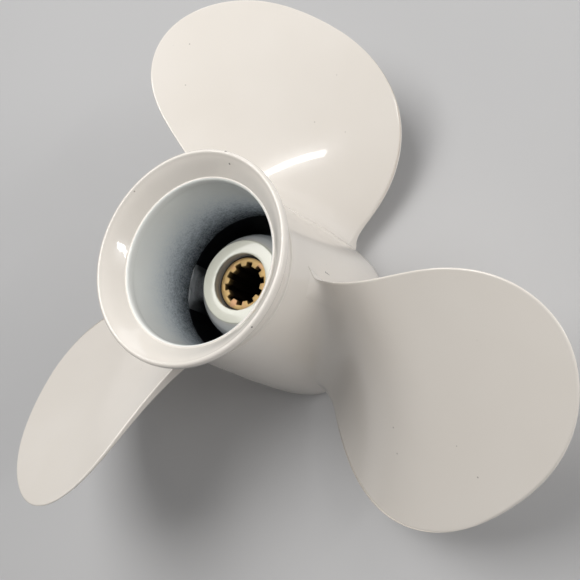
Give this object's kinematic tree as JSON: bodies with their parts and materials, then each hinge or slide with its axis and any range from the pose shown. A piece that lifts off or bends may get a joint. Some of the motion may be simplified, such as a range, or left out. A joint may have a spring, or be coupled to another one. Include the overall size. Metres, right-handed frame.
{
  "type": "boat propeller",
  "caption": "White painted aluminium outboard propeller: swept blades on a flared through-hub exhaust barrel, with a splined brass sleeve in a rubber drive bush.",
  "frame": {"origin": "centre of the barrel's front rim, on the spin axis", "axes": "+Z along the spin axis, pointing aft (the exhaust side); blade_1's root centre line lies in the Y-Z plane on the +Y side; +X completes a right-handed frame"},
  "size_m": [0.227, 0.2201, 0.1],
  "materials": {
    "white_paint": "gloss white paint on cast aluminium",
    "bush_rubber": "matte black rubber",
    "sleeve_brass": "machined, slightly dull"
  },
  "bodies": {
    "casting": {"barrel": "white_paint", "inner_hub": "white_paint", "exhaust_web_1": "white_paint", "exhaust_web_2": "white_paint", "exhaust_web_3": "white_paint", "blade_1": "white_paint", "blade_2": "white_paint", "blade_3": "white_paint", "rubber_bush": "bush_rubber"},
    "sleeve": {"splined_sleeve": "sleeve_brass"}
  },
  "joints": [
    {"name": "drive_bush_windup", "type": "hinge", "parent": "casting", "child": "sleeve", "pos_m": [0, 0, 0.035], "axis": [0, 0, 1], "range_deg": [-10, 10], "stiffness_Nm_per_rad": 450}
  ]
}
